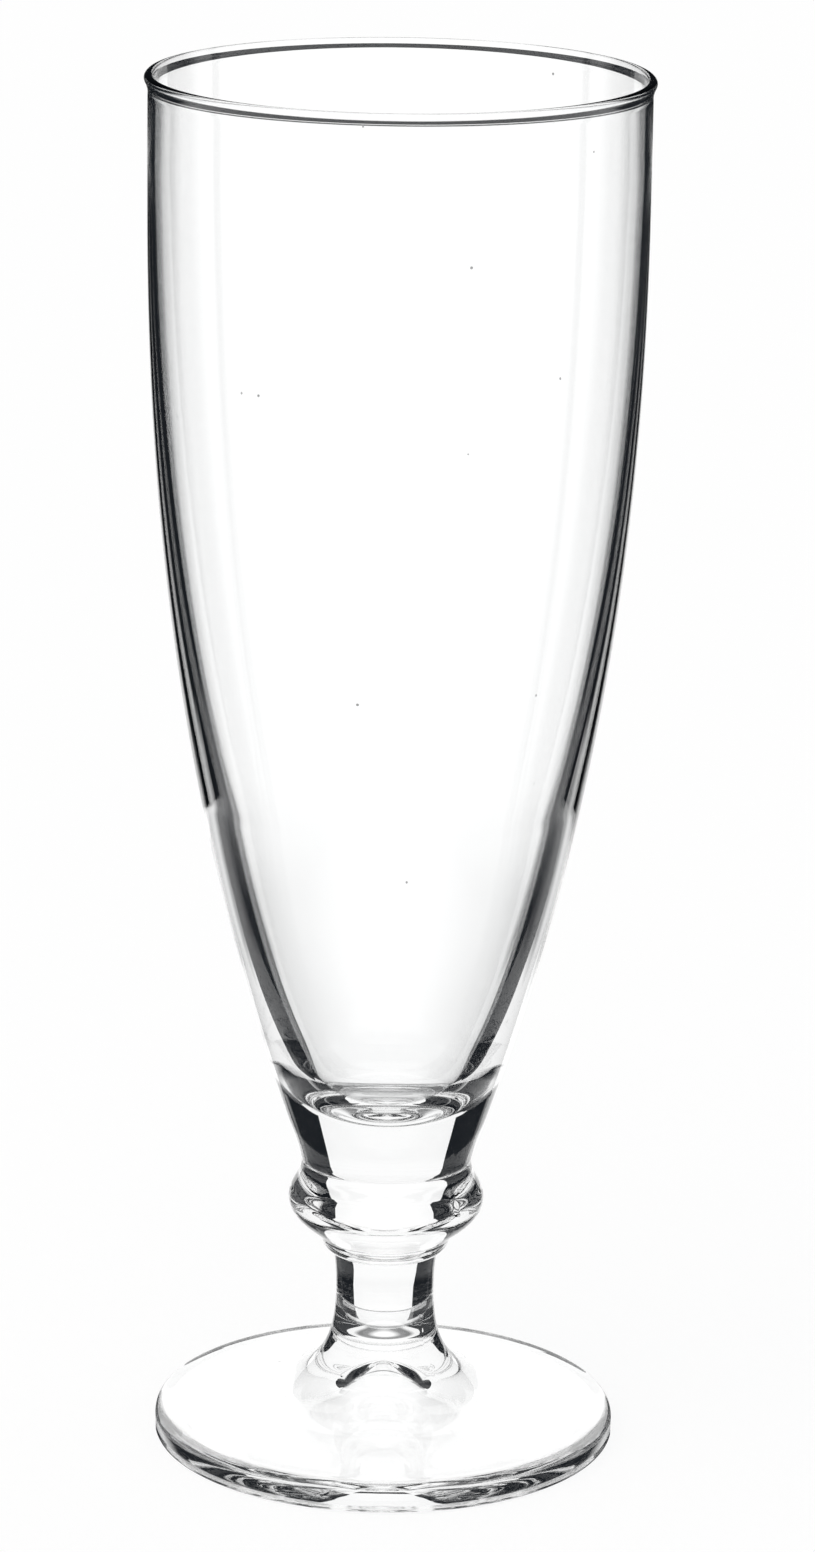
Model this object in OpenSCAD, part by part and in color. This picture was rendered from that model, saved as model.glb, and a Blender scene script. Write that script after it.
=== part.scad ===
// Pilsner glass in clear glass: a tall bowl on a knop, a short stem and a round foot
// Each section is a solid of revolution about Z, and the sections meet face to face
// The origin is the centre of the foot, on the table

/* [Rim] */
// Height of the rim section
rim_h = 4; // [3:0.5:8]
// Thickness of the fire-polished bead
bead_t = 1.5; // [1.2:0.1:2.4]
// How far the bead stands out from the wall below it
bead_proud = 0.53; // [0.3:0.01:0.8]

/* [Bowl] */
// Height of the bowl's wall, from the solid base to the rim section
bowl_h = 149; // [120:1:175]
// Outer diameter of the wall under the rim
mouth_d = 75.3; // [66:0.1:88]
// Height of the straight band of wall under the rim section
straight_h = 17; // [5:1:35]
// Wall thickness at the rim
wall_rim = 1.1; // [0.9:0.1:1.6]
// Wall thickness where the glass settled, low in the bowl
wall_settled = 3.8; // [2.5:0.05:5]
// Height of that place above the solid base
settled_h = 42; // [25:0.5:60]

/* [Bowl base] */
// Height of the base section, from the neck to the bowl's wall
base_h = 17; // [14:0.5:24]
// Diameter of the neck, where the base meets the knop
neck_d = 26.4; // [22:0.1:32]
// Height over which the neck turns into the bowl's flare
neck_fillet_h = 3.9; // [2:0.1:7]
// How much the radius grows over that height
neck_fillet_w = 1.15; // [0.4:0.05:2]
// Thickness of solid glass between the neck and the middle of the bowl's floor
floor_t = 8.9; // [7:0.1:13]
// Height above the floor at which the wall turns in towards the floor
heel_h = 12.1; // [8:0.1:16]
// Wall thickness at that turn
wall_heel = 5; // [3.5:0.05:6.5]

/* [Knop] */
// Height of the knop, with the collar under it
knop_h = 15; // [12:0.5:22]
// Diameter of the knop at its widest
knop_d = 30.5; // [28:0.1:40]
// Height of the widest line above the stem
crown_h = 8.9; // [7:0.05:10.5]
// Diameter of the small collar under the knop
collar_d = 20.3; // [18:0.1:24]
// Height of the collar
collar_h = 2.5; // [1.5:0.05:4]

/* [Stem] */
// Height of the stem
stem_h = 12; // [8:0.5:30]
// Diameter at both ends of the stem
stem_d = 16.2; // [13:0.1:17.5]
// Diameter at the waist, halfway up
waist_d = 15.3; // [10:0.1:16]

/* [Foot] */
// Height of the foot, with the flare that rises to the stem
foot_h = 18; // [14:0.5:26]
// Diameter of the foot
foot_d = 72.1; // [62:0.1:86]
// Thickness of the foot's edge, where the flare ends
edge_t = 4.7; // [3.5:0.05:6]
// Width of the rounded shoulder outside the flare
shoulder_w = 3; // [2:0.05:5]
// Height of the foot's widest line
edge_line_h = 2.4; // [1.6:0.05:3]
// Radius of the edge's lower corner
corner_r = 1.05; // [0.8:0.05:1.5]
// Width of the flat ring that rests on the table
ring_w = 4.2; // [2:0.05:6]
// Diameter of the dome under the stem
dome_d = 10.4; // [6:0.1:14]
// Height of the dome's edge above the table
dome_edge_h = 6.6; // [4.5:0.1:8.5]
// Height of the dome's top above the table
dome_top_h = 11; // [9:0.1:11.5]

/* [Smoothness] */
// Straight pieces in each long curve
long_steps = 24; // [12:2:40]
// Straight pieces in each short curve
short_steps = 10; // [6:1:16]

/* [Hidden] */
$fn = 96;

clear_glass = [0.86, 0.91, 0.92, 0.45];

// Heights of the planes where the sections meet
stem_z = foot_h;
knop_z = stem_z + stem_h;
base_z = knop_z + knop_h;
bowl_z = base_z + base_h;
rim_z = bowl_z + bowl_h;
glass_h = rim_z + rim_h;

mouth_r = mouth_d / 2;
neck_r = neck_d / 2;
knop_r = knop_d / 2;
collar_r = collar_d / 2;
stem_r = stem_d / 2;
waist_r = waist_d / 2;
foot_r = foot_d / 2;
dome_r = dome_d / 2;

// Control points of each curve, as shares of the way from its start to its end: outwards, then upwards
bowl_shares = [[0, 0], [0.763, 0.35], [1, 0.679], [1, 1]];
cavity_high_shares = [[0, 0], [0.36, 0.16], [1, 0.49], [1, 1]];
cavity_low_shares = [[0, 0], [0.46, 0.32], [0.76, 0.71], [1, 1]];
floor_shares = [[0, 0], [0.65, 0.02], [0.81, 0.42], [1, 1]];
knop_low_shares = [[0, 0], [0.3, 0.28], [0.99, 0.51], [1, 1]];
knop_high_shares = [[0, 0], [0.02, 0.47], [0.95, 0.64], [1, 1]];
collar_shares = [[0, 0], [0.53, 0.08], [0.83, 0.35], [1, 1]];
flare_shares = [[0, 0], [0.065, 0.627], [0.322, 0.858], [1, 1]];
shoulder_shares = [[0, 0], [0.78, -0.05], [1, 0.23], [1, 1]];
underside_shares = [[0, 0], [0.31, 0.05], [0.87, 0.5], [1, 1]];
dome_shares = [[0, 0], [0.35, 0.5], [0.7, 1], [1, 1]];
bead_fillet_shares = [[0, 0], [0, 0.28], [0.33, 0.62], [1, 1]];

// One point of a cubic curve at t, from 0 to 1
function cubic(p, t) =
    pow(1 - t, 3) * p[0] + 3 * t * pow(1 - t, 2) * p[1] + 3 * t * t * (1 - t) * p[2] + pow(t, 3) * p[3];

// Points of the curve from start to end whose control points are given as shares
function curve(start, end, shares, steps) =
    let (p = [for (s = shares) [start.x + s.x * (end.x - start.x), start.y + s.y * (end.y - start.y)]])
    [for (i = [0:steps]) cubic(p, i / steps)];

// Points of an arc about centre, from angle a to angle b
function arc(centre, r, a, b, steps) =
    [for (i = [0:steps]) let (angle = a + (b - a) * i / steps) centre + r * [cos(angle), sin(angle)]];

function reversed(line) = [for (i = [len(line) - 1:-1:0]) line[i]];

// Radius of a rising line at height z
function radius_at(line, z) = lookup(z, [for (p = line) [p.y, p.x]]);

// The stretch of a rising line from height low to height high
function between(line, low, high) =
    concat(
        [[radius_at(line, low), low]],
        [for (p = line) if (p.y > low && p.y < high) p],
        [[radius_at(line, high), high]]
    );

// Outer skin of the stem, with a control radius that brings the middle of the curve to the waist
waist_share = 4 / 3;
stem_line = [
    for (i = [0:short_steps])
        let (share = i / short_steps, pull = 3 * share * (1 - share) * waist_share)
        [stem_r - pull * (stem_r - waist_r), stem_z + share * stem_h]
];

// Outer skin of the knop: collar, round underside, crown and shoulder
collar_z = knop_z + collar_h;
crown_z = knop_z + crown_h;
knop_line = concat(
    curve([stem_r, knop_z], [collar_r, collar_z], collar_shares, short_steps),
    curve([collar_r, collar_z], [knop_r, crown_z], knop_low_shares, short_steps),
    reversed(curve([neck_r, base_z], [knop_r, crown_z], knop_high_shares, short_steps))
);

// Outer skin of the bowl: neck fillet, long flare and straight band
flare_z = base_z + neck_fillet_h;
flare_start = [neck_r + neck_fillet_w, flare_z];
flare_end = [mouth_r, rim_z - straight_h];
flare_slope = bowl_shares[1].x * (flare_end.x - flare_start.x) / (bowl_shares[1].y * (flare_end.y - flare_start.y));
fillet_bend = [neck_r, flare_z - neck_fillet_w / flare_slope];
neck_start = [neck_r, base_z];
bowl_line = concat(
    [
        for (i = [0:short_steps])
            let (t = i / short_steps)
            pow(1 - t, 2) * neck_start + 2 * t * (1 - t) * fillet_bend + t * t * flare_start
    ],
    curve(flare_start, flare_end, bowl_shares, long_steps),
    [[mouth_r, rim_z]]
);

// Inner skin of the bowl: dished floor, settled wall and thin upper wall
floor_z = base_z + floor_t;
heel_z = floor_z + heel_h;
settled_z = bowl_z + settled_h;
mouth_inner_r = mouth_r - wall_rim;
heel_point = [radius_at(bowl_line, heel_z) - wall_heel, heel_z];
settled_point = [radius_at(bowl_line, settled_z) - wall_settled, settled_z];
cavity_line = concat(
    curve([0, floor_z], heel_point, floor_shares, short_steps),
    curve(heel_point, settled_point, cavity_low_shares, long_steps),
    curve(settled_point, [mouth_inner_r, rim_z - straight_h / 2], cavity_high_shares, long_steps),
    [[mouth_inner_r, rim_z]]
);

// Bead at the mouth, with a fillet under its outer side
bead_r = bead_t / 2;
bead_centre = [mouth_r + bead_proud - bead_r, glass_h - bead_r];
bead_start_angle = -25;
bead_start = bead_centre + bead_r * [cos(bead_start_angle), sin(bead_start_angle)];
bead_fillet_h = 1.2 * bead_t;
rim_outline = concat(
    [[mouth_r, rim_z]],
    curve([mouth_r, bead_start.y - bead_fillet_h], bead_start, bead_fillet_shares, short_steps),
    arc(bead_centre, bead_r, bead_start_angle, 180, 2 * short_steps),
    [[mouth_inner_r, rim_z]]
);

// Foot: flare, rounded edge, resting ring and hollow underside
corner_centre = [foot_r - corner_r, corner_r];
ring_inner_r = foot_r - corner_r - ring_w;
foot_outline = concat(
    [[0, foot_h]],
    curve([stem_r, foot_h], [foot_r - shoulder_w, edge_t], flare_shares, long_steps),
    curve([foot_r - shoulder_w, edge_t], [foot_r, edge_line_h], shoulder_shares, short_steps),
    arc(corner_centre, corner_r, 0, -90, short_steps),
    curve([ring_inner_r, 0], [dome_r, dome_edge_h], underside_shares, short_steps),
    curve([dome_r, dome_edge_h], [0, dome_top_h], dome_shares, short_steps)
);

module turned(outline) {
    color(clear_glass)
        rotate_extrude()
            polygon(outline);
}

module rim() {
    turned(rim_outline);
}

module bowl() {
    turned(concat(
        between(bowl_line, bowl_z, rim_z),
        reversed(between(cavity_line, bowl_z, rim_z))
    ));
}

module bowl_base() {
    turned(concat(
        [[0, base_z]],
        between(bowl_line, base_z, bowl_z),
        reversed(between(cavity_line, floor_z, bowl_z))
    ));
}

module knop() {
    turned(concat([[0, knop_z]], between(knop_line, knop_z, base_z), [[0, base_z]]));
}

module stem() {
    turned(concat([[0, stem_z]], between(stem_line, stem_z, knop_z), [[0, knop_z]]));
}

module foot() {
    turned(foot_outline);
}

rim();
bowl();
bowl_base();
knop();
stem();
foot();
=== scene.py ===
"""The looks of a clear pilsner glass, built around its solids, and the studio that it stands in."""
import math

import bpy
import numpy as np
from mathutils import Euler, Matrix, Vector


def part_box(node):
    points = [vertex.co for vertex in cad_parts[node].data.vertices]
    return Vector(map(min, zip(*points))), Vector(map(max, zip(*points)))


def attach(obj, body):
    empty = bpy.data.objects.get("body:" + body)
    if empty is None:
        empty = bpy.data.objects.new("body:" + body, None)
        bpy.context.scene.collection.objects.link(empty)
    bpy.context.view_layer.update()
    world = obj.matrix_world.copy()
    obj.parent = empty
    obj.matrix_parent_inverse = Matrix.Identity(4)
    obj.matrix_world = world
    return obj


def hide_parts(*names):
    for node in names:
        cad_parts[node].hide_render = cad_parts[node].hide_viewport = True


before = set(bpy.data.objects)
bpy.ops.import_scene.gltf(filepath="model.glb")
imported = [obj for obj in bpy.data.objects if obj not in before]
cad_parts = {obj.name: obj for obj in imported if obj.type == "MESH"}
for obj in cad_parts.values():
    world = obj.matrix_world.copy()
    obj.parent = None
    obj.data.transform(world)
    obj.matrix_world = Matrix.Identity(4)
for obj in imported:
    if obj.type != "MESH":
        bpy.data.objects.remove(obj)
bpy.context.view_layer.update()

bl_info = {
    "name": "Pilsner glass",
    "version": (1, 0, 0),
    "blender": (4, 5, 0),
    "location": "View3D > Sidebar > Pilsner glass",
    "description": "Builds a clear pilsner glass section by section, with its bright-field studio",
    "category": "Add Mesh",
}

MM = 0.001

# Height of the photograph's frame, in pixels, and width of the camera's sensor, in millimetres
PHOTO_HEIGHT = 1552
SENSOR_WIDTH = 36

# Distances below which two points, or two heights, count as the same, in metres
SAME_POINT = 1e-7
SAME_HEIGHT = 1e-6

# Smallest length that a normal is divided by, so that none is divided by zero on the axis
LEAST_LENGTH = 1e-15


def top(node):
    """Height of a solid's top."""
    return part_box(node)[1].z


def radius(node):
    """Largest radius of a solid."""
    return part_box(node)[1].x


FOOT_TOP = top("foot")
STEM_TOP = top("stem")
KNOP_TOP = top("knop")
BASE_TOP = top("bowl_base")
BOWL_TOP = top("bowl")
GLASS_TOP = top("rim")
TURNTABLE_HEIGHT = GLASS_TOP / 2

# Control points of each curve, as shares of the way from its start to its end: outwards, then upwards
CURVE_SHARES = {
    "dome": ((0, 0), (0.35, 0.5), (0.7, 1), (1, 1)),
    "underside": ((0, 0), (0.31, 0.05), (0.87, 0.5), (1, 1)),
    "shoulder": ((0, 0), (0.78, -0.05), (1, 0.23), (1, 1)),
    "flare": ((0, 0), (0.065, 0.627), (0.322, 0.858), (1, 1)),
    "collar": ((0, 0), (0.53, 0.08), (0.83, 0.35), (1, 1)),
    "knop_low": ((0, 0), (0.3, 0.28), (0.99, 0.51), (1, 1)),
    "knop_high": ((0, 0), (0.02, 0.47), (0.95, 0.64), (1, 1)),
    "bowl": ((0, 0), (0.763, 0.35), (1, 0.679), (1, 1)),
    "bead_fillet": ((0, 0), (0, 0.28), (0.33, 0.62), (1, 1)),
    "cavity_high": ((0, 0), (0.36, 0.16), (1, 0.49), (1, 1)),
    "cavity_low": ((0, 0), (0.46, 0.32), (0.76, 0.71), (1, 1)),
    "floor": ((0, 0), (0.65, 0.02), (0.81, 0.42), (1, 1)),
}

# Straight pieces in each curve and arc, close enough together for the glass to bend light evenly
CURVE_STEPS = {
    "dome": 24,
    "underside": 24,
    "corner": 14,
    "shoulder": 20,
    "flare": 54,
    "stem": 24,
    "collar": 10,
    "knop_low": 28,
    "knop_high": 24,
    "neck_fillet": 12,
    "bowl": 110,
    "bead_fillet": 12,
    "bead": 32,
    "cavity_high": 60,
    "cavity_low": 40,
    "floor": 48,
}

# Rows of points on the flat resting ring, as shares of its width from its inner edge
RING_SHARES = (0.08, 0.5, 0.92)

# Where the bead's arc starts and ends, in degrees, and the height of its fillet as a share of the bead
BEAD_START = -25
BEAD_END = 180
BEAD_FILLET_SHARE = 1.2

# Share of the foot's radius from which, outwards, the mould seams sink into the surface
SEAM_SHARE = 0.8

# Heights of the waves in each glass, in millimetres: slow swells, then fine cords
WAVES = {
    "rim_glass": (0.004, 0),
    "bowl_glass": (0.004, 0),
    "base_glass": (0.01, 0.004),
    "knop_glass": (0.03, 0.012),
    "stem_glass": (0.02, 0.006),
    "foot_glass": (0.02, 0.006),
}

# What the places are multiplied by for the cords' pattern, so that the cords run upwards
CORD_SQUEEZE = (1, 1, 0.25)

# Cells a metre that hold one speck each. Only the specks that a surface cuts are seen
SPECK_CELLS = 90.0

WHITE = (1, 1, 1, 1)

# How much brighter the shaded part of the table's white is drawn, as the light leaves it a little grey
TABLE_LIFT = 1.1

# Straight pieces in the curtains, in the screens and in the mat
CURTAIN_STEPS = 16
SCREEN_STEPS = 24
MAT_STEPS = 96

# Bounces of light, enough to cross every wall of the glass and to mirror in it
GLASS_BOUNCES = 32
GLOSSY_BOUNCES = 24


def length(name, description, default):
    """A length property, in metres."""
    return bpy.props.FloatProperty(name=name, description=description, default=default, min=0, unit="LENGTH")


def number(name, description, default, low=0.0, high=10.0):
    """A plain number property."""
    return bpy.props.FloatProperty(name=name, description=description, default=default, min=low, max=high)


def angle(name, description, degrees):
    """An angle property, given in degrees."""
    return bpy.props.FloatProperty(
        name=name, description=description, default=math.radians(degrees), subtype="ANGLE"
    )


def colour(name, description, default):
    """A colour property."""
    return bpy.props.FloatVectorProperty(
        name=name, description=description, default=default, size=3, min=0, max=1, subtype="COLOR"
    )


class GlassSizes(bpy.types.PropertyGroup):
    """Sizes of the glass that its solids' boxes don't give."""

    bead: length("Bead", "Thickness of the fire-polished bead at the mouth", 1.5 * MM)
    wall_rim: length("Wall at the rim", "Wall thickness under the bead", 1.1 * MM)
    wall_settled: length("Settled wall", "Wall thickness low in the bowl, where the glass settled", 3.8 * MM)
    settled_height: length("Settled height", "Height of the settled wall above the base section", 42 * MM)
    wall_heel: length("Wall at the heel", "Wall thickness where the wall turns into the floor", 5 * MM)
    heel_height: length("Heel height", "Height above the floor at which the wall turns into it", 12.1 * MM)
    floor: length("Floor", "Solid glass between the neck and the middle of the floor", 8.9 * MM)
    straight: length("Straight band", "Height of the straight wall under the rim section", 17 * MM)
    neck: length("Neck", "Radius of the neck under the bowl", 13.2 * MM)
    neck_fillet_height: length("Neck fillet height", "Height of the turn from neck to flare", 3.9 * MM)
    neck_fillet_width: length("Neck fillet width", "Growth of the radius from neck to flare", 1.15 * MM)
    crown: length("Crown", "Height of the knop's widest line above the stem", 8.9 * MM)
    collar: length("Collar", "Radius of the collar under the knop", 10.15 * MM)
    collar_height: length("Collar height", "Height of the collar", 2.5 * MM)
    waist: length("Waist", "Radius of the stem's waist", 7.65 * MM)
    edge: length("Foot edge", "Thickness of the foot where the flare ends", 4.7 * MM)
    shoulder: length("Foot shoulder", "Width of the rounded shoulder outside the flare", 3 * MM)
    edge_line: length("Foot edge line", "Height of the foot's widest line", 2.4 * MM)
    corner: length("Foot corner", "Radius of the edge's lower corner", 1.05 * MM)
    ring: length("Resting ring", "Width of the flat ring that the foot rests on", 4.2 * MM)
    dome: length("Dome", "Radius of the dome under the stem", 5.2 * MM)
    dome_edge: length("Dome edge", "Height of the dome's edge above the table", 6.6 * MM)
    dome_top: length("Dome top", "Height of the dome's top above the table", 11 * MM)


class GlassLooks(bpy.types.PropertyGroup):
    """Colour and unevenness of the glass."""

    tint: colour("Tint", "Colour of the clear glass", (0.995, 0.998, 0.998))
    shadow_tint: colour("Shadow tint", "What one surface lets through to the table", (0.9, 0.91, 0.92))
    ior: number("IOR", "Refractive index of soda-lime glass", 1.52, 1.0, 2.0)
    columns: bpy.props.IntProperty(
        name="Columns", description="Mesh columns around the glass", default=224, min=48
    )
    wall_shift: length("Wall shift", "How far the bowl's hollow stands off the axis", 0.05 * MM)
    seam_height: length("Seam height", "Height of the mould seams on the knop, stem and foot", 0.05 * MM)
    seam_width: length("Seam width", "Half the width of a mould seam", 0.35 * MM)
    seam_turn: angle("Seam turn", "Direction of the first mould seam about the axis, from +X", -44)
    speck_size: length("Speck size", "Radius of the largest specks in the glass", 0.22 * MM)
    scuff_height: length("Scuff height", "How far up the resting ring the scuffs reach", 0.15 * MM)
    scuff: number("Scuff", "Most roughness that the scuffs give the resting ring", 0.08, 0, 1)


class StudioSettings(bpy.types.PropertyGroup):
    """Camera, table, black sheets and light of the studio. The sheets are seen only in the glass."""

    camera_back: length("Camera distance", "Distance of the camera in front of the axis", 871.33 * MM)
    camera_height: length("Camera height", "Height of the camera above the table", 347.41 * MM)
    camera_pitch: angle("Camera pitch", "Downward tilt of the camera", 15.434)
    camera_roll: angle("Camera roll", "Turn of the picture about the view", 0.804)
    focal: number("Focal length", "Focal length in pixels of the photograph", 5892.9, 100, 20000)
    off_centre: number("Off centre", "Distance of the glass left of the middle, in pixels", 16.5, -400, 400)

    card_back: length("Card distance", "Distance of the near black cards behind the axis", 38 * MM)
    card_outer: length("Card outer edge", "Distance of the cards' outer edges from the middle", 105 * MM)
    card_fade: length("Card fade", "Width over which the cards' outer edges thin out", 30 * MM)
    card_low: length("Card foot", "Height at which the cards start, over their hem", 100 * MM)
    card_bowl: length("Card edge, bowl", "Distance of inner edges from the middle at the bowl", 50 * MM)
    card_mouth: length("Card edge, mouth", "Distance of inner edges from the middle at the mouth", 45 * MM)
    card_soft: length("Card soft edge", "Width over which the cards' inner edges thin out", 4 * MM)
    card_widest: length("Card widest", "Height at which the cards' inner edges start to lean in", 136 * MM)
    card_top: length("Card top", "Height of the cards' upper edges", 300 * MM)

    hem_inner: length("Hem edge", "Distance of the thin hem's inner edge from the middle", 40 * MM)
    hem_soft: length("Hem soft edge", "Width over which the hem's inner edge thins out", 6 * MM)
    hem_low: length("Hem foot", "Height at which the hem starts", 52 * MM)
    hem_fade: length("Hem fade", "Height over which the hem thins out and meets the card", 10 * MM)
    hem_cover: number("Hem cover", "What the hem hides", 0.65, 0, 1)

    curtain_far: length("Curtain distance", "Distance of the black curtains from the axis", 500 * MM)
    curtain_inner: angle("Curtain inner edge", "Direction of the inner edges, from behind the glass", 29)
    curtain_left: angle("Left curtain, low", "Direction of the left inner edge under the table", 27)
    curtain_right: angle("Right curtain, low", "Direction of the right inner edge under the table", 31)
    curtain_outer: angle("Curtain outer edge", "Direction of the outer edges, from behind the glass", 66)
    curtain_fade: angle("Curtain fade", "Angle over which the outer edges thin out", 12)
    curtain_top: length("Curtain top", "Highest line of the curtains", 480 * MM)
    curtain_bend: length("Curtain bend", "Depth under the table at which the inner edges bend", 100 * MM)
    curtain_bent: length("Curtain bent", "Depth at which they reach their low directions", 150 * MM)
    curtain_hem: length("Curtain hem", "Depth at which the curtains start to thin out", 250 * MM)
    curtain_thinned: length("Curtain thinned", "Depth at which they have thinned out", 340 * MM)
    curtain_low: length("Curtain foot", "Depth under the table at which the curtains end", 560 * MM)

    screen_far: length("Screen distance", "Distance of the low black screens from the axis", 60 * MM)
    screen_start: angle("Screen start", "Direction of the rear ends, from behind the glass", 50)
    screen_end: angle("Screen end", "Direction of the front ends, from behind the glass", 155)
    screen_fade: angle("Screen fade", "Angle over which the front ends thin out", 30)
    screen_top: length("Screen top", "Highest line of the screens", 84 * MM)
    screen_solid: length("Screen solid", "Height at which the screens start to thin out", 66 * MM)
    screen_apron: length("Screen apron", "Height over which the screens open in front", 12 * MM)
    screen_hem: length("Screen hem", "Depth under the table at which they start to thin out", 10 * MM)
    screen_thinned: length("Screen thinned", "Depth at which they have thinned out", 14 * MM)
    screen_low: length("Screen foot", "Depth under the table at which the screens end", 60 * MM)
    thin_cover: number("Thin cover", "What curtains and screens hide where they are thin", 0.95, 0, 1)

    mat_depth: length("Mat depth", "Depth under the table of the ring-shaped black mat", 300 * MM)
    mat_inner: length("Mat inner edge", "Radius of the mat's hole", 50 * MM)
    mat_outer: length("Mat outer edge", "Radius at which the mat starts to thin out", 150 * MM)
    mat_fade: length("Mat fade", "Width over which each edge of the mat thins out", 45 * MM)
    mat_cover: number("Mat cover", "What the mat hides", 0.75, 0, 1)

    board_back: length("Board distance", "Distance of the board behind the axis", 165 * MM)
    board_low: length("Board edge", "Height of the board's lower edge", 215 * MM)
    board_high: length("Board top", "Height of the board's upper edge", 400 * MM)

    # Painted light: the sheets glow faintly at this level in place of the light that black felt would catch
    felt_glow: colour("Felt colour", "Colour of the black sheets", (0.012, 0.014, 0.017))
    table_reach: length("Table reach", "Distance of the table's sides from the axis", 9)
    table_colour: colour("Table colour", "Colour of the table as it lights the glass", (0.8, 0.8, 0.8))
    table_white: number("Table white", "Part of the table's white that no shadow takes away", 0.8)
    lamp_strength: number("Lamp strength", "Strength of the soft lamp", 1.9)
    lamp_spread: angle("Lamp spread", "Angle that the lamp fills, seen from the glass", 60)
    lamp_front: angle("Lamp to the front", "Tilt of the lamp from overhead to the camera's side", 25)
    lamp_left: angle("Lamp to the left", "Tilt of the lamp from overhead to the left", 20)
    backdrop_strength: number("Backdrop strength", "Brightness of the backdrop in the glass", 1.03)
    fill_strength: number("Fill strength", "Strength of the light from all round", 0.36)


class Skin:
    """The whole surface of the glass as one line, from the dome's middle over the rim to the floor's."""

    def __init__(self):
        self.points = []
        self.marks = {}

    def add(self, points):
        """Adds points, leaving out one that repeats the last."""
        for r, z in points:
            if not self.points or math.hypot(r - self.points[-1][0], z - self.points[-1][1]) > SAME_POINT:
                self.points.append((float(r), float(z)))

    def mark(self, name):
        """Names the last point, where two sections meet."""
        self.marks[name] = len(self.points) - 1


def even_shares(name):
    """0 to 1 in the steps of a named curve."""
    return np.linspace(0, 1, CURVE_STEPS[name] + 1)


def curve(name, start, end):
    """Points of a named cubic curve from start to end."""
    start = np.array(start)
    end = np.array(end)
    p = [start + np.array(share) * (end - start) for share in CURVE_SHARES[name]]
    t = even_shares(name)[:, None]
    return (1 - t) ** 3 * p[0] + 3 * t * (1 - t) ** 2 * p[1] + 3 * t ** 2 * (1 - t) * p[2] + t ** 3 * p[3]


def arc(name, centre, r, start, end):
    """Points of a named arc, angles in degrees."""
    turn = np.radians(np.linspace(start, end, CURVE_STEPS[name] + 1))
    return np.stack([centre[0] + r * np.cos(turn), centre[1] + r * np.sin(turn)], axis=1)


def radius_at(line, z):
    """Radius of a rising line at height z."""
    return float(np.interp(z, line[:, 1], line[:, 0]))


def cut(line, low, high):
    """The stretch of a rising line between two heights."""
    inside = line[(line[:, 1] > low + SAME_HEIGHT) & (line[:, 1] < high - SAME_HEIGHT)]
    return np.vstack([[radius_at(line, low), low], inside, [radius_at(line, high), high]])


def bowl_outer_line(sizes):
    """Outer skin of the bowl and its base, as a rising line: neck fillet, flare and straight band."""
    mouth = radius("bowl")
    neck = np.array((sizes.neck, KNOP_TOP))
    flare_start = np.array((sizes.neck + sizes.neck_fillet_width, KNOP_TOP + sizes.neck_fillet_height))
    flare_end = (mouth, BOWL_TOP - sizes.straight)
    out_share, up_share = CURVE_SHARES["bowl"][1]
    rise = up_share * (flare_end[1] - flare_start[1])
    slope = out_share * (flare_end[0] - flare_start[0]) / rise
    bend = np.array((sizes.neck, flare_start[1] - sizes.neck_fillet_width / slope))
    t = even_shares("neck_fillet")[:, None]
    fillet = (1 - t) ** 2 * neck + 2 * t * (1 - t) * bend + t ** 2 * flare_start
    return np.vstack([fillet, curve("bowl", flare_start, flare_end)[1:], [[mouth, BOWL_TOP]]])


def bowl_inner_line(sizes, outer):
    """Inner skin of the bowl and its base, as a rising line: dished floor, settled wall and thin wall."""
    inner_mouth = radius("bowl") - sizes.wall_rim
    floor_z = KNOP_TOP + sizes.floor
    heel_z = floor_z + sizes.heel_height
    settled_z = BASE_TOP + sizes.settled_height
    heel = (radius_at(outer, heel_z) - sizes.wall_heel, heel_z)
    settled = (radius_at(outer, settled_z) - sizes.wall_settled, settled_z)
    return np.vstack([
        curve("floor", (0, floor_z), heel),
        curve("cavity_low", heel, settled)[1:],
        curve("cavity_high", settled, (inner_mouth, BOWL_TOP - sizes.straight / 2))[1:],
        [[inner_mouth, BOWL_TOP]],
    ])


def add_foot_skin(skin, sizes):
    """Adds the dome, the hollow, the resting ring, the rounded edge and the flare of the foot."""
    foot = radius("foot")
    ring_inner = foot - sizes.corner - sizes.ring
    dome = (sizes.dome, sizes.dome_edge)
    flare_end = (foot - sizes.shoulder, sizes.edge)
    skin.add(curve("dome", dome, (0, sizes.dome_top))[::-1])
    skin.add(curve("underside", (ring_inner, 0), dome)[::-1])
    skin.add([(ring_inner + sizes.ring * share, 0) for share in RING_SHARES])
    skin.add(arc("corner", (foot - sizes.corner, sizes.corner), sizes.corner, -90, 0))
    skin.mark("foot_widest")
    skin.add(curve("shoulder", flare_end, (foot, sizes.edge_line))[::-1])
    skin.add(curve("flare", (radius("stem"), FOOT_TOP), flare_end)[::-1])
    skin.mark("foot_top")


def add_stem_skin(skin, sizes):
    """Adds the stem, with its waist halfway up."""
    stem = radius("stem")
    t = even_shares("stem")
    waist_shares = 4 * t * (1 - t)
    radii = stem - waist_shares * (stem - sizes.waist)
    skin.add(np.stack([radii, FOOT_TOP + t * (STEM_TOP - FOOT_TOP)], axis=1))
    skin.mark("stem_top")


def add_knop_skin(skin, sizes):
    """Adds the collar, the round underside and the shoulder of the knop."""
    collar = (sizes.collar, STEM_TOP + sizes.collar_height)
    crown = (radius("knop"), STEM_TOP + sizes.crown)
    skin.add(curve("collar", (radius("stem"), STEM_TOP), collar))
    skin.add(curve("knop_low", collar, crown))
    skin.add(curve("knop_high", (sizes.neck, KNOP_TOP), crown)[::-1])
    skin.mark("knop_top")


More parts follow.
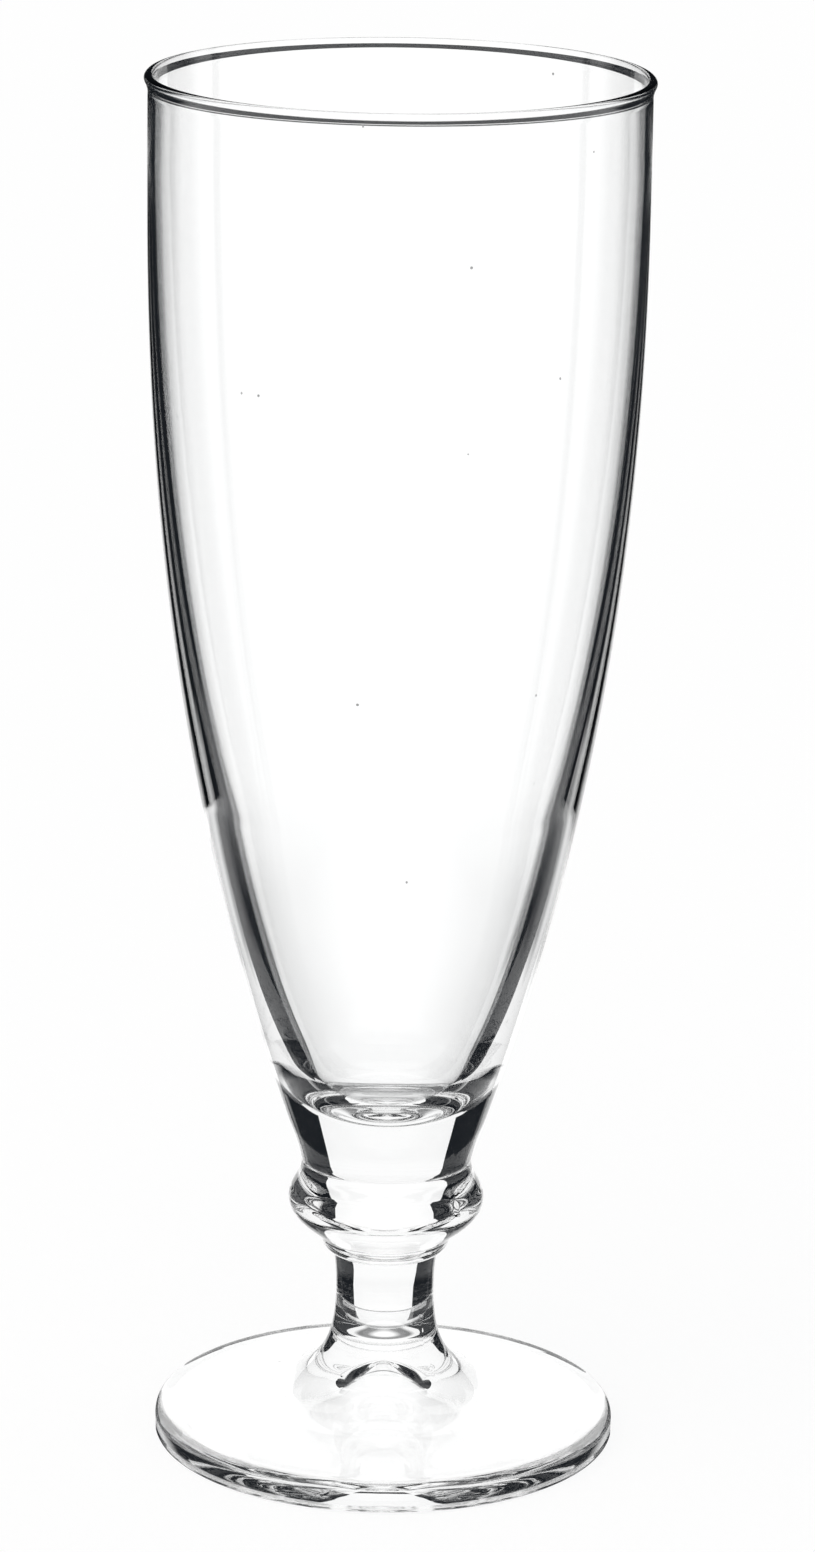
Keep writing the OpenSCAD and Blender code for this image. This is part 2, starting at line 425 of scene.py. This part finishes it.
def add_rim_skin(skin, sizes):
    """Adds the fillet and the bead at the mouth, and the inside of the rim."""
    mouth = radius("bowl")
    bead = sizes.bead / 2
    lip = arc("bead", (radius("rim") - bead, GLASS_TOP - bead), bead, BEAD_START, BEAD_END)
    skin.add(curve("bead_fillet", (mouth, lip[0][1] - BEAD_FILLET_SHARE * sizes.bead), lip[0]))
    skin.add(lip)
    skin.add([(mouth - sizes.wall_rim, BOWL_TOP)])
    skin.mark("bowl_inner")


def glass_skin(sizes):
    """The whole surface of the glass, marked where its sections meet."""
    skin = Skin()
    outer = bowl_outer_line(sizes)
    inner = bowl_inner_line(sizes, outer)
    add_foot_skin(skin, sizes)
    add_stem_skin(skin, sizes)
    add_knop_skin(skin, sizes)
    skin.add(cut(outer, KNOP_TOP, BASE_TOP))
    skin.mark("base_outer")
    skin.add(cut(outer, BASE_TOP, BOWL_TOP))
    skin.mark("bowl_outer")
    add_rim_skin(skin, sizes)
    skin.add(cut(inner, BASE_TOP, BOWL_TOP)[::-1])
    skin.mark("base_inner")
    skin.add(cut(inner, KNOP_TOP + sizes.floor, BASE_TOP)[::-1])
    skin.mark("floor")
    return skin


def ramp(values, zero_at, one_at):
    """0 to 1 as the values go from zero_at to one_at, smooth at both ends."""
    share = np.clip((values - zero_at) / (one_at - zero_at), 0, 1)
    return share * share * (3 - 2 * share)


def shift_hollow(places, skin, looks):
    """Moves the bowl's hollow off the axis, but for the middle of its floor and its mouth."""
    line = np.array(skin.points)
    inside = np.arange(len(line)) >= skin.marks["bowl_inner"]
    middle = (BASE_TOP + BOWL_TOP) / 2
    shift = inside * ramp(line[:, 1], line[-1][1], BASE_TOP) * ramp(line[:, 1], BOWL_TOP, middle)
    places[..., 0] += looks.wall_shift * shift[:, None]


def raise_seams(places, turn, skin, looks):
    """Raises two mould seams from the foot's flare to the knop. They fade out on the bowl's base."""
    line = np.array(skin.points)
    rows = np.arange(len(line))
    outside = (rows > skin.marks["foot_widest"]) & (rows < skin.marks["bowl_inner"])
    height = looks.seam_height * outside * ramp(line[:, 1], BASE_TOP, KNOP_TOP)
    height *= ramp(line[:, 0], radius("foot"), radius("foot") * SEAM_SHARE)
    step = turn[1]
    first = round(looks.seam_turn / step)
    reach = np.maximum(looks.seam_width / np.maximum(line[:, 0], looks.seam_width), step)
    for column in (first, first + len(turn) // 2):
        away = np.abs((turn - column * step + math.pi) % (2 * math.pi) - math.pi)
        rise = height[:, None] * np.clip(1 - away[None, :] / reach[:, None], 0, 1)
        places[..., 0] += rise * np.cos(turn)
        places[..., 1] += rise * np.sin(turn)


def skin_grid(skin, looks):
    """Places and outward normals of the skin, row by row around the axis."""
    line = np.array(skin.points)
    turn = np.linspace(0, 2 * math.pi, looks.columns, endpoint=False)
    places = np.empty((len(line), len(turn), 3))
    places[..., 0] = line[:, :1] * np.cos(turn)
    places[..., 1] = line[:, :1] * np.sin(turn)
    places[..., 2] = line[:, 1:]
    shift_hollow(places, skin, looks)
    raise_seams(places, turn, skin, looks)
    along = np.empty_like(places)
    along[1:-1] = places[2:] - places[:-2]
    along[0] = places[1] - places[0]
    along[-1] = places[-1] - places[-2]
    around = np.roll(places, -1, axis=1) - np.roll(places, 1, axis=1)
    normals = np.cross(around, along)
    normals = normals / np.maximum(np.linalg.norm(normals, axis=2, keepdims=True), LEAST_LENGTH)
    normals[0] = (0, 0, -1)
    normals[-1] = (0, 0, 1)
    return places, normals


class Section:
    """Builds one closed section of the glass from stretches of the skin and the joints between them."""

    def __init__(self, places, normals):
        self.places = places
        self.normals = normals
        self.columns = places.shape[1]
        self.vertices = []
        self.faces = []
        self.face_normals = []
        self.joint_faces = []
        self.rings = {}

    def ring(self, row):
        """Vertex numbers of a row of the skin. A row on the axis has one vertex, whose number repeats."""
        if row not in self.rings:
            on_axis = row in (0, len(self.places) - 1)
            points = self.places[row][:1] if on_axis else self.places[row]
            start = len(self.vertices)
            self.vertices += [tuple(p) for p in points]
            self.rings[row] = [start] * self.columns if on_axis else list(range(start, start + self.columns))
        return self.rings[row]

    def face(self, corners, normals, joint):
        """Adds a face, leaving out a corner that repeats."""
        kept = []
        for corner, normal in zip(corners, normals):
            if corner not in [c for c, n in kept]:
                kept.append((corner, normal))
        self.faces.append([c for c, n in kept])
        self.face_normals += [tuple(n) for c, n in kept]
        self.joint_faces.append(joint)

    def stretch(self, first, last):
        """Adds the skin from one row to another."""
        for row in range(first, last):
            low = self.ring(row)
            high = self.ring(row + 1)
            low_normals = self.normals[row]
            high_normals = self.normals[row + 1]
            for i in range(self.columns):
                j = (i + 1) % self.columns
                corners = (low[i], low[j], high[j], high[i])
                normals = (low_normals[i], low_normals[j], high_normals[j], high_normals[i])
                self.face(corners, normals, False)

    def joint_ring(self, outer, inner, up):
        """Closes the section with a flat ring between two rows of the skin."""
        a = self.ring(outer)
        b = self.ring(inner)
        for i in range(self.columns):
            j = (i + 1) % self.columns
            corners = (a[i], a[j], b[j], b[i]) if up > 0 else (a[j], a[i], b[i], b[j])
            self.face(corners, [(0, 0, up)] * 4, True)

    def joint_disc(self, row, up):
        """Closes the section with a flat disc inside a row of the skin."""
        ring = self.ring(row)
        middle = len(self.vertices)
        self.vertices.append((0, 0, float(self.places[row][0][2])))
        for i in range(self.columns):
            j = (i + 1) % self.columns
            corners = (ring[i], ring[j], middle) if up > 0 else (ring[j], ring[i], middle)
            self.face(corners, [(0, 0, up)] * 3, True)

    def piece(self, node, glass):
        """Makes the section's object, which stands for the solid of that name."""
        mesh = bpy.data.meshes.new(node + "_glass")
        mesh.from_pydata(self.vertices, [], self.faces)
        mesh.polygons.foreach_set("use_smooth", [True] * len(self.faces))
        mesh.normals_split_custom_set(self.face_normals)
        mesh.materials.append(glass)
        mesh.materials.append(fused_joint())
        mesh.polygons.foreach_set("material_index", [int(joint) for joint in self.joint_faces])
        piece = bpy.data.objects.new(node + "_glass", mesh)
        bpy.context.scene.collection.objects.link(piece)
        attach(piece, "root")
        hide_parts(node)


def start_section():
    """The skin's marks and an empty section."""
    scene = bpy.context.scene
    skin = glass_skin(scene.glass_sizes)
    places, normals = skin_grid(skin, scene.glass_looks)
    return skin.marks, Section(places, normals)


def math_node(tree, operation, first, second):
    """The result of a Math node that two sockets feed."""
    node = tree.nodes.new("ShaderNodeMath")
    node.operation = operation
    tree.links.new(first, node.inputs[0])
    tree.links.new(second, node.inputs[1])
    return node.outputs[0]


def map_range(tree, share, at_zero, at_one):
    """A value that goes from at_zero to at_one as the share goes from 0 to 1."""
    node = tree.nodes.new("ShaderNodeMapRange")
    node.inputs["To Min"].default_value = at_zero
    node.inputs["To Max"].default_value = at_one
    tree.links.new(share, node.inputs["Value"])
    return node.outputs[0]


def mix_shaders(tree, share, first, second):
    """The first shader where the share is 0, and the second where it is 1."""
    node = tree.nodes.new("ShaderNodeMixShader")
    tree.links.new(share, node.inputs["Fac"])
    tree.links.new(first, node.inputs[1])
    tree.links.new(second, node.inputs[2])
    return node.outputs[0]


def new_material(name):
    """An empty material, its node tree and its surface socket."""
    material = bpy.data.materials.new(name)
    material.use_nodes = True
    tree = material.node_tree
    tree.nodes.clear()
    return material, tree, tree.nodes.new("ShaderNodeOutputMaterial").inputs["Surface"]


def new_group(name, inputs, output, kind):
    """A node group from its inputs and their defaults, and the sockets of its inputs and its one output."""
    group = bpy.data.node_groups.new(name, "ShaderNodeTree")
    for label, default in inputs.items():
        input_kind = "NodeSocketFloat" if isinstance(default, float) else "NodeSocketColor"
        socket = group.interface.new_socket(name=label, in_out="INPUT", socket_type=input_kind)
        socket.default_value = default
    group.interface.new_socket(name=output, in_out="OUTPUT", socket_type=kind)
    given = group.nodes.new("NodeGroupInput").outputs
    result = group.nodes.new("NodeGroupOutput").inputs[output]
    return group, given, result


def place_group(tree, group, values):
    """Puts a node group into a material with its own values, and gives the group's output."""
    node = tree.nodes.new("ShaderNodeGroup")
    node.node_tree = group
    for label, value in values.items():
        node.inputs[label].default_value = value
    return node.outputs[0]


def wave_height(tree, place, scale, height):
    """Smooth waves over the places of a surface, up to the given height."""
    noise = tree.nodes.new("ShaderNodeTexNoise")
    noise.inputs["Detail"].default_value = 1
    tree.links.new(place, noise.inputs["Vector"])
    tree.links.new(scale, noise.inputs["Scale"])
    return math_node(tree, "MULTIPLY", noise.outputs["Fac"], height)


def waviness_group():
    """Slow swells and fine upright cords that forming leaves in the surface, as one height."""
    group = bpy.data.node_groups.get("Glass waviness")
    if group:
        return group
    inputs = {"Swells a metre": 60.0, "Swell height": 0.02, "Cords a metre": 300.0, "Cord height": 0.002}
    group, given, result = new_group("Glass waviness", inputs, "Height", "NodeSocketFloat")
    place = group.nodes.new("ShaderNodeTexCoord").outputs["Object"]
    squeeze = group.nodes.new("ShaderNodeVectorMath")
    squeeze.operation = "MULTIPLY"
    squeeze.inputs[1].default_value = CORD_SQUEEZE
    group.links.new(place, squeeze.inputs[0])
    swells = wave_height(group, place, given["Swells a metre"], given["Swell height"])
    cords = wave_height(group, squeeze.outputs[0], given["Cords a metre"], given["Cord height"])
    group.links.new(math_node(group, "ADD", swells, cords), result)
    return group


def specks_group():
    """Seeds and dust in the glass: a few tiny dark points."""
    group = bpy.data.node_groups.get("Glass specks")
    if group:
        return group
    inputs = {"Glass": WHITE, "Speck": (0.1, 0.1, 0.1, 1), "Cells a metre": SPECK_CELLS, "Radius": 0.02}
    group, given, result = new_group("Glass specks", inputs, "Colour", "NodeSocketColor")
    place = group.nodes.new("ShaderNodeTexCoord").outputs["Object"]
    points = group.nodes.new("ShaderNodeTexVoronoi")
    group.links.new(place, points.inputs["Vector"])
    group.links.new(given["Cells a metre"], points.inputs["Scale"])
    mix = group.nodes.new("ShaderNodeMix")
    mix.data_type = "RGBA"
    mask = math_node(group, "LESS_THAN", points.outputs["Distance"], given["Radius"])
    group.links.new(mask, mix.inputs["Factor"])
    group.links.new(given["Glass"], mix.inputs["A"])
    group.links.new(given["Speck"], mix.inputs["B"])
    group.links.new(mix.outputs["Result"], result)
    return group


def scuffs_group():
    """Fine scratches on whatever rests on the table, as roughness up to the given height."""
    group = bpy.data.node_groups.get("Resting scuffs")
    if group:
        return group
    inputs = {"Height": 0.0001, "Strength": 0.3, "Scratches a metre": 2500.0}
    group, given, result = new_group("Resting scuffs", inputs, "Roughness", "NodeSocketFloat")
    place = group.nodes.new("ShaderNodeTexCoord").outputs["Object"]
    split = group.nodes.new("ShaderNodeSeparateXYZ")
    scratches = group.nodes.new("ShaderNodeTexNoise")
    group.links.new(place, split.inputs[0])
    group.links.new(place, scratches.inputs["Vector"])
    group.links.new(given["Scratches a metre"], scratches.inputs["Scale"])
    low = math_node(group, "LESS_THAN", split.outputs["Z"], given["Height"])
    worn = math_node(group, "MULTIPLY", low, scratches.outputs["Fac"])
    group.links.new(math_node(group, "MULTIPLY", worn, given["Strength"]), result)
    return group


def clear_glass(name, rests=False):
    """Clear glass whose shadow lets most light through. Where it rests on the table, it is scuffed."""
    looks = bpy.context.scene.glass_looks
    swell_height, cord_height = WAVES[name]
    material, tree, surface = new_material(name)
    glass = tree.nodes.new("ShaderNodeBsdfPrincipled")
    glass.inputs["Roughness"].default_value = 0
    glass.inputs["IOR"].default_value = looks.ior
    glass.inputs["Transmission Weight"].default_value = 1
    speck_values = {"Glass": (*looks.tint, 1), "Radius": looks.speck_size * SPECK_CELLS}
    tree.links.new(place_group(tree, specks_group(), speck_values), glass.inputs["Base Color"])
    if rests:
        scuff_values = {"Height": looks.scuff_height, "Strength": looks.scuff}
        tree.links.new(place_group(tree, scuffs_group(), scuff_values), glass.inputs["Roughness"])
    wave_values = {"Swell height": swell_height, "Cord height": cord_height}
    bump = tree.nodes.new("ShaderNodeBump")
    bump.inputs["Distance"].default_value = MM
    tree.links.new(place_group(tree, waviness_group(), wave_values), bump.inputs["Height"])
    tree.links.new(bump.outputs["Normal"], glass.inputs["Normal"])
    shade = tree.nodes.new("ShaderNodeBsdfTransparent")
    shade.inputs["Color"].default_value = (*looks.shadow_tint, 1)
    in_shadow = tree.nodes.new("ShaderNodeLightPath").outputs["Is Shadow Ray"]
    tree.links.new(mix_shaders(tree, in_shadow, glass.outputs[0], shade.outputs[0]), surface)
    return material


def fused_joint():
    """The flat places where two sections are one glass: light passes straight through."""
    material = bpy.data.materials.get("fused_joint")
    if material:
        return material
    material, tree, surface = new_material("fused_joint")
    tree.links.new(tree.nodes.new("ShaderNodeBsdfTransparent").outputs[0], surface)
    return material


class AddRim(bpy.types.Operator):
    """Adds the fire-polished rim."""

    bl_idname = "pilsner.add_rim"
    bl_label = "Rim"

    def execute(self, context):
        marks, section = start_section()
        section.stretch(marks["bowl_outer"], marks["bowl_inner"])
        section.joint_ring(marks["bowl_outer"], marks["bowl_inner"], -1)
        section.piece("rim", clear_glass("rim_glass"))
        return {"FINISHED"}


class AddBowl(bpy.types.Operator):
    """Adds the blown bowl."""

    bl_idname = "pilsner.add_bowl"
    bl_label = "Bowl"

    def execute(self, context):
        marks, section = start_section()
        section.stretch(marks["base_outer"], marks["bowl_outer"])
        section.stretch(marks["bowl_inner"], marks["base_inner"])
        section.joint_ring(marks["bowl_outer"], marks["bowl_inner"], 1)
        section.joint_ring(marks["base_outer"], marks["base_inner"], -1)
        section.piece("bowl", clear_glass("bowl_glass"))
        return {"FINISHED"}


class AddBowlBase(bpy.types.Operator):
    """Adds the solid base of the bowl with its dished floor."""

    bl_idname = "pilsner.add_bowl_base"
    bl_label = "Bowl base"

    def execute(self, context):
        marks, section = start_section()
        section.stretch(marks["knop_top"], marks["base_outer"])
        section.stretch(marks["base_inner"], marks["floor"])
        section.joint_ring(marks["base_outer"], marks["base_inner"], 1)
        section.joint_disc(marks["knop_top"], -1)
        section.piece("bowl_base", clear_glass("base_glass"))
        return {"FINISHED"}


class AddKnop(bpy.types.Operator):
    """Adds the knop and its collar."""

    bl_idname = "pilsner.add_knop"
    bl_label = "Knop"

    def execute(self, context):
        marks, section = start_section()
        section.stretch(marks["stem_top"], marks["knop_top"])
        section.joint_disc(marks["knop_top"], 1)
        section.joint_disc(marks["stem_top"], -1)
        section.piece("knop", clear_glass("knop_glass"))
        return {"FINISHED"}


class AddStem(bpy.types.Operator):
    """Adds the waisted stem."""

    bl_idname = "pilsner.add_stem"
    bl_label = "Stem"

    def execute(self, context):
        marks, section = start_section()
        section.stretch(marks["foot_top"], marks["stem_top"])
        section.joint_disc(marks["stem_top"], 1)
        section.joint_disc(marks["foot_top"], -1)
        section.piece("stem", clear_glass("stem_glass"))
        return {"FINISHED"}


class AddFoot(bpy.types.Operator):
    """Adds the flared foot."""

    bl_idname = "pilsner.add_foot"
    bl_label = "Foot"

    def execute(self, context):
        marks, section = start_section()
        section.stretch(0, marks["foot_top"])
        section.joint_disc(marks["foot_top"], 1)
        section.piece("foot", clear_glass("foot_glass", rests=True))
        return {"FINISHED"}


def seen_rays(tree):
    """The Is Camera Ray socket, and one that is 1 for what the camera sees straight, through or on glass."""
    path = tree.nodes.new("ShaderNodeLightPath").outputs
    mirrored = math_node(tree, "MAXIMUM", path["Is Camera Ray"], path["Is Glossy Ray"])
    return path["Is Camera Ray"], math_node(tree, "MAXIMUM", mirrored, path["Is Transmission Ray"])


def light_world(studio):
    """A white backdrop all round for what the camera sees, and a plain fill for the light."""
    world = bpy.data.worlds.new("backdrop")
    bpy.context.scene.world = world
    world.use_nodes = True
    tree = world.node_tree
    tree.nodes.clear()
    background = tree.nodes.new("ShaderNodeBackground")
    background.inputs["Color"].default_value = WHITE
    straight, seen = seen_rays(tree)
    level = map_range(tree, seen, studio.fill_strength, studio.backdrop_strength)
    back_to_white = map_range(tree, straight, 1, 1 / studio.backdrop_strength)
    tree.links.new(math_node(tree, "MULTIPLY", level, back_to_white), background.inputs["Strength"])
    output = tree.nodes.new("ShaderNodeOutputWorld")
    tree.links.new(background.outputs[0], output.inputs["Surface"])


def table_material(studio):
    """A table that the camera sees as white with its shadow, and that the glass looks straight through."""
    material, tree, surface = new_material("pale_table")
    plain = tree.nodes.new("ShaderNodeBsdfDiffuse")
    plain.inputs["Color"].default_value = (*studio.table_colour, 1)
    white = tree.nodes.new("ShaderNodeEmission")
    white.inputs["Strength"].default_value = studio.table_white
    shaded = tree.nodes.new("ShaderNodeBsdfDiffuse")
    rest = TABLE_LIFT * (1 - studio.table_white)
    shaded.inputs["Color"].default_value = (rest, rest, rest, 1)
    both = tree.nodes.new("ShaderNodeAddShader")
    tree.links.new(white.outputs[0], both.inputs[0])
    tree.links.new(shaded.outputs[0], both.inputs[1])
    through = tree.nodes.new("ShaderNodeBsdfTransparent")
    straight, seen = seen_rays(tree)
    shown = mix_shaders(tree, straight, through.outputs[0], both.outputs[0])
    tree.links.new(mix_shaders(tree, seen, plain.outputs[0], shown), surface)
    return material


def felt_material(studio):
    """Black felt that thins out where its cover is less than 1. It lights nothing. Its faint glow is painted
    light: the dark level that lit black felt would show.
    """
    material, tree, surface = new_material("black_felt")
    # Painted light: an emission at the dark level of lit felt, instead of felt that the lamps light
    felt = tree.nodes.new("ShaderNodeEmission")
    felt.inputs["Color"].default_value = (*studio.felt_glow, 1)
    clear = tree.nodes.new("ShaderNodeBsdfTransparent")
    cover = tree.nodes.new("ShaderNodeAttribute")
    cover.attribute_name = "cover"
    tree.links.new(mix_shaders(tree, cover.outputs["Fac"], clear.outputs[0], felt.outputs[0]), surface)
    material.cycles.emission_sampling = "NONE"
    return material


def mesh_object(name, vertices, faces, material):
    """A plain mesh object of the stage."""
    mesh = bpy.data.meshes.new(name)
    mesh.from_pydata(vertices, [], faces)
    mesh.materials.append(material)
    made = bpy.data.objects.new(name, mesh)
    bpy.context.scene.collection.objects.link(made)
    return made


def black_sheet(name, rows, felt, turntable):
    """A black sheet on the turntable from rows of points, each with its cover. Only the glass shows it."""
    width = len(rows[0])
    vertices = [(x, y, z - TURNTABLE_HEIGHT) for row in rows for (x, y, z), cover in row]
    faces = []
    for i in range(len(rows) - 1):
        for j in range(width - 1):
            a = i * width + j
            faces.append((a, a + 1, a + width + 1, a + width))
    made = mesh_object(name, vertices, faces, felt)
    covers = made.data.attributes.new("cover", "FLOAT", "POINT")
    covers.data.foreach_set("value", [float(cover) for row in rows for point, cover in row])
    made.parent = turntable
    made.visible_camera = False
    made.visible_diffuse = False
    made.visible_shadow = False


def even_steps(first, last, steps):
    """Values at even steps from first to last."""
    return [first + (last - first) * i / steps for i in range(steps + 1)]


def arc_row(side, turns, covers, far, z):
    """Points of an arc about the axis, on the side given as 1 or -1, each with its cover."""
    return [((side * far * math.sin(t), far * math.cos(t), z), cover) for t, cover in zip(turns, covers)]


def card_rows(studio, side):
    """An upright card close behind the glass, on the side given as 1 or -1, with a thin grey hem below."""
    hem_foot = (studio.hem_inner, studio.hem_soft, 0)
    hem = (studio.hem_inner, studio.hem_soft, studio.hem_cover)
    hem_top = (studio.card_bowl, studio.hem_soft, studio.hem_cover)
    bowl = (studio.card_bowl, studio.card_soft, 1)
    mouth = (studio.card_mouth, studio.card_soft, 1)
    levels = (
        (studio.hem_low, hem_foot),
        (studio.hem_low + studio.hem_fade, hem),
        (studio.card_low - studio.hem_fade, hem_top),
        (studio.card_low, bowl),
        (studio.card_widest, bowl),
        (GLASS_TOP, mouth),
        (studio.card_top, mouth),
    )
    fade_start = studio.card_outer - studio.card_fade
    rows = []
    for z, (inner, soft, cover) in levels:
        reaches = ((inner - soft, 0), (inner, cover), (fade_start, cover), (studio.card_outer, 0))
        rows.append([((side * x, studio.card_back, z), share) for x, share in reaches])
    return rows


def curtain_rows(studio, side, low_inner):
    """A curtain in an arc around the glass, on the side given as 1 or -1. Its inner edge bends low down."""
    levels = (
        (-studio.curtain_low, studio.thin_cover, low_inner),
        (-studio.curtain_thinned, studio.thin_cover, low_inner),
        (-studio.curtain_hem, 1, low_inner),
        (-studio.curtain_bent, 1, low_inner),
        (-studio.curtain_bend, 1, studio.curtain_inner),
        (studio.curtain_top, 1, studio.curtain_inner),
    )
    rows = []
    for z, cover, inner in levels:
        turns = even_steps(inner, studio.curtain_outer - studio.curtain_fade, CURTAIN_STEPS)
        covers = [cover] * len(turns) + [0]
        rows.append(arc_row(side, turns + [studio.curtain_outer], covers, studio.curtain_far, z))
    return rows


def screen_rows(studio, side):
    """A low screen in an arc from behind the glass round one side. It is open in front but for its apron."""
    levels = (
        (-studio.screen_low, studio.thin_cover, 1),
        (-studio.screen_thinned, studio.thin_cover, 1),
        (-studio.screen_hem, 1, 1),
        (0, 1, 1),
        (studio.screen_apron, 1, 0),
        (studio.screen_solid, 1, 0),
        (studio.screen_top, 0, 0),
    )
    turns = even_steps(studio.screen_start, studio.screen_end - studio.screen_fade, SCREEN_STEPS)
    rows = []
    for z, cover, in_front in levels:
        covers = [cover] * len(turns) + [cover * in_front] * 2
        rows.append(arc_row(side, turns + [studio.screen_end, math.pi], covers, studio.screen_far, z))
    return rows


def mat_rows(studio):
    """A flat ring under the table. Both its edges thin out."""
    turns = even_steps(0, 2 * math.pi, MAT_STEPS)
    edges = (
        (studio.mat_inner, 0),
        (studio.mat_inner + studio.mat_fade, studio.mat_cover),
        (studio.mat_outer, studio.mat_cover),
        (studio.mat_outer + studio.mat_fade, 0),
    )
    return [arc_row(1, turns, [cover] * len(turns), far, -studio.mat_depth) for far, cover in edges]


def board_rows(studio):
    """An upright board behind the glass, over the lit gap between the curtains and as wide as that gap."""
    half = studio.board_back * math.tan(studio.curtain_inner)
    return [
        [((x, studio.board_back, z), 1) for x in (-half, half)]
        for z in (studio.board_low, studio.board_high)
    ]


def hang_black_sheets(studio, turntable):
    """The near cards, the curtains and screens at both sides, the mat and the board over the lit gap."""
    felt = felt_material(studio)
    sheets = {
        "left_card": card_rows(studio, -1),
        "right_card": card_rows(studio, 1),
        "left_curtain": curtain_rows(studio, -1, studio.curtain_left),
        "right_curtain": curtain_rows(studio, 1, studio.curtain_right),
        "left_screen": screen_rows(studio, -1),
        "right_screen": screen_rows(studio, 1),
        "black_mat": mat_rows(studio),
        "top_board": board_rows(studio),
    }
    for name, rows in sheets.items():
        black_sheet(name, rows, felt, turntable)


def place_camera(studio):
    """The camera, at the photograph's viewing angle."""
    camera = bpy.data.objects.new("camera", bpy.data.cameras.new("camera"))
    bpy.context.scene.collection.objects.link(camera)
    bpy.context.scene.camera = camera
    camera.data.sensor_width = SENSOR_WIDTH
    camera.data.lens = studio.focal / PHOTO_HEIGHT * camera.data.sensor_width
    yaw = -math.atan(studio.off_centre / studio.focal)
    look = Euler((math.pi / 2 - studio.camera_pitch, 0, yaw), "XYZ").to_matrix().to_4x4()
    roll = Matrix.Rotation(studio.camera_roll, 4, "Z")
    camera.matrix_world = Matrix.Translation((0, -studio.camera_back, studio.camera_height)) @ look @ roll
    return camera


def lay_table(studio):
    """A wide pale table under the glass."""
    reach = studio.table_reach
    corners = [(-reach, -reach, 0), (reach, -reach, 0), (reach, reach, 0), (-reach, reach, 0)]
    mesh_object("table", corners, [(0, 1, 2, 3)], table_material(studio))


def add_turntable(camera):
    """An empty at half the glass's height. It turns about the upright axis to face the camera."""
    turntable = bpy.data.objects.new("turntable", None)
    bpy.context.scene.collection.objects.link(turntable)
    turntable.location = (0, 0, TURNTABLE_HEIGHT)
    follow = turntable.constraints.new("LOCKED_TRACK")
    follow.target = camera
    follow.track_axis = "TRACK_NEGATIVE_Y"
    follow.lock_axis = "LOCK_Z"
    return turntable


def hang_lamp(studio):
    """A broad soft lamp overhead, which the glass itself doesn't show."""
    lamp = bpy.data.objects.new("softbox", bpy.data.lights.new("softbox", "SUN"))
    lamp.data.energy = studio.lamp_strength
    lamp.data.angle = studio.lamp_spread
    lamp.rotation_euler = (studio.lamp_front, -studio.lamp_left, 0)
    bpy.context.scene.collection.objects.link(lamp)
    lamp.visible_glossy = False
    lamp.visible_transmission = False


def set_colours_and_bounces(scene):
    """Plain colours, and enough bounces for light to find its way through the glass."""
    scene.view_settings.view_transform = "Standard"
    scene.cycles.max_bounces = GLASS_BOUNCES
    scene.cycles.transmission_bounces = GLASS_BOUNCES
    scene.cycles.transparent_max_bounces = GLASS_BOUNCES
    scene.cycles.glossy_bounces = GLOSSY_BOUNCES


class BuildStudio(bpy.types.Operator):
    """Adds the camera, the table, the black sheets and the light."""

    bl_idname = "pilsner.build_studio"
    bl_label = "Studio"

    def execute(self, context):
        studio = context.scene.studio_settings
        camera = place_camera(studio)
        light_world(studio)
        lay_table(studio)
        hang_black_sheets(studio, add_turntable(camera))
        hang_lamp(studio)
        set_colours_and_bounces(context.scene)
        return {"FINISHED"}


class GlassPanel(bpy.types.Panel):
    """Lists the studio, the sections of the glass and all their settings."""

    bl_idname = "VIEW3D_PT_pilsner"
    bl_label = "Pilsner glass"
    bl_space_type = "VIEW_3D"
    bl_region_type = "UI"
    bl_category = "Pilsner glass"

    def draw(self, context):
        for builder in BUILDERS:
            self.layout.operator(builder.bl_idname)
        for group in (context.scene.glass_sizes, context.scene.glass_looks, context.scene.studio_settings):
            for name in group.__annotations__:
                self.layout.prop(group, name)


BUILDERS = (BuildStudio, AddFoot, AddStem, AddKnop, AddBowlBase, AddBowl, AddRim)
GROUPS = {"glass_sizes": GlassSizes, "glass_looks": GlassLooks, "studio_settings": StudioSettings}


def register():
    """Registers the classes and hangs the settings on the scene."""
    for cls in (*GROUPS.values(), *BUILDERS, GlassPanel):
        bpy.utils.register_class(cls)
    for name, group in GROUPS.items():
        setattr(bpy.types.Scene, name, bpy.props.PointerProperty(type=group))


def unregister():
    """Takes the settings and the classes away again."""
    for name in GROUPS:
        delattr(bpy.types.Scene, name)
    for cls in reversed((*GROUPS.values(), *BUILDERS, GlassPanel)):
        bpy.utils.unregister_class(cls)


def main():
    """Builds the studio and the glass."""
    register()
    bpy.ops.pilsner.build_studio()
    bpy.ops.pilsner.add_foot()
    bpy.ops.pilsner.add_stem()
    bpy.ops.pilsner.add_knop()
    bpy.ops.pilsner.add_bowl_base()
    bpy.ops.pilsner.add_bowl()
    bpy.ops.pilsner.add_rim()
    bpy.context.view_layer.update()


if __name__ == "__main__":
    main()
